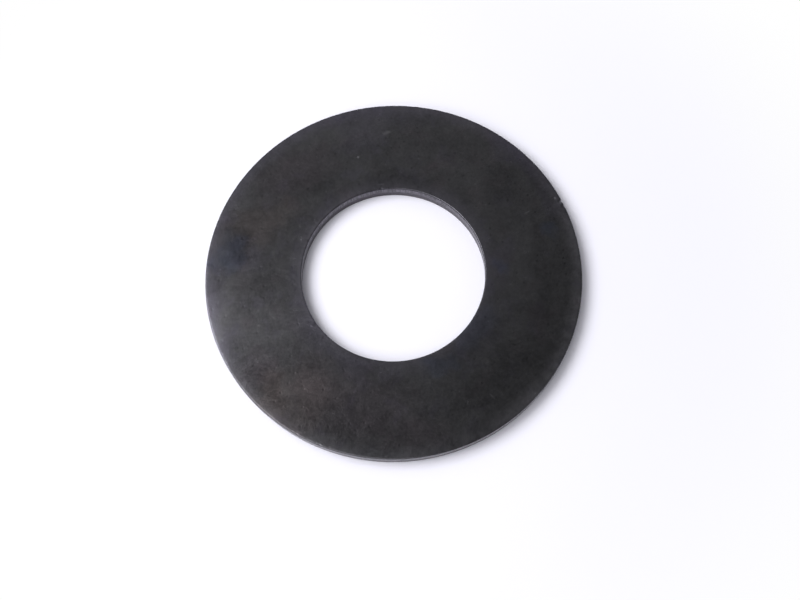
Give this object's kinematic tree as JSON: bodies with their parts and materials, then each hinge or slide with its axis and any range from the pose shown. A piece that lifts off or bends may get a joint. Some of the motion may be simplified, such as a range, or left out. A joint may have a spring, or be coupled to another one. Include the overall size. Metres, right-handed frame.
{
  "type": "shim washer",
  "caption": "Flat round steel shim washer with a plain central hole, blanked edges and a black oxide finish.",
  "frame": {"origin": "centre of the hole, on the plane that the washer's lower face lies on", "axes": "+Z along the washer's axis, from the lower face up to the face with the rolled edges; +X and +Y are any two directions across it"},
  "size_m": [0.042, 0.042, 0.002],
  "materials": {
    "black_oxide_steel": "satin black oxide on blanked steel sheet, faintly mottled, with fine scratches and worn edges"
  },
  "bodies": {
    "root": {"washer": "black_oxide_steel"}
  },
  "joints": []
}
